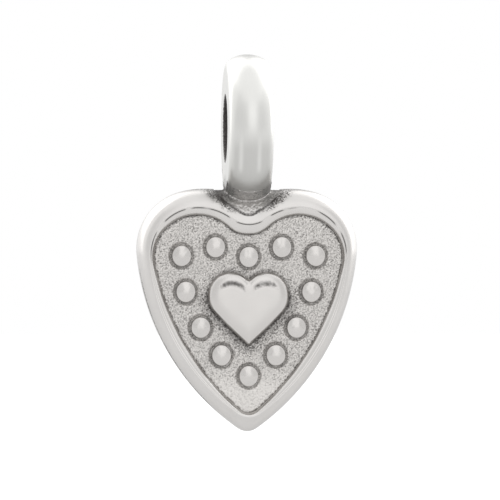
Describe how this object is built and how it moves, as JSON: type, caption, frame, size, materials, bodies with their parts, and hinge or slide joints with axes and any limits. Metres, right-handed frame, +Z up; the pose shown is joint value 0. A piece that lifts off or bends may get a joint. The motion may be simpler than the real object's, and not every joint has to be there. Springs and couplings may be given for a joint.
{
  "type": "milagro charm",
  "caption": "Antiqued silver heart charm with a raised border, a stippled field, domed beads, a puffed centre heart and a fixed round bail.",
  "frame": {"origin": "centre of the bail's hole, half way along the hole", "axes": "+Z up, from the heart's tip to the bail; +X along the bail's hole; the decorated face looks along -Y and the plain back along +Y"},
  "size_m": [0.012, 0.008, 0.0205],
  "materials": {
    "polished_silver": "smooth silver plate, lightly tumbled, dark patina kept inside the bore",
    "pitted_silver": "pitted cast silver, heavily antiqued",
    "back_silver": "plain satin silver with fine tumbling marks",
    "border_silver": "smooth tumbled silver",
    "bezel_silver": "smooth silver with patina along its foot",
    "stippled_silver": "sand grained silver, antiqued in its grain",
    "heart_silver": "smooth polished silver, patina round its foot",
    "bead_silver": "smooth polished silver, patina round each foot"
  },
  "bodies": {
    "root": {"bail_ring": "polished_silver", "bail_seat": "pitted_silver", "back_plate": "back_silver", "outer_border": "border_silver", "inner_bezel": "bezel_silver", "field_plate": "stippled_silver", "centre_heart": "heart_silver", "bead_01": "bead_silver", "bead_02": "bead_silver", "bead_03": "bead_silver", "bead_04": "bead_silver", "bead_05": "bead_silver", "bead_06": "bead_silver", "bead_07": "bead_silver", "bead_08": "bead_silver", "bead_09": "bead_silver", "bead_10": "bead_silver", "bead_11": "bead_silver", "bead_12": "bead_silver"}
  },
  "joints": []
}
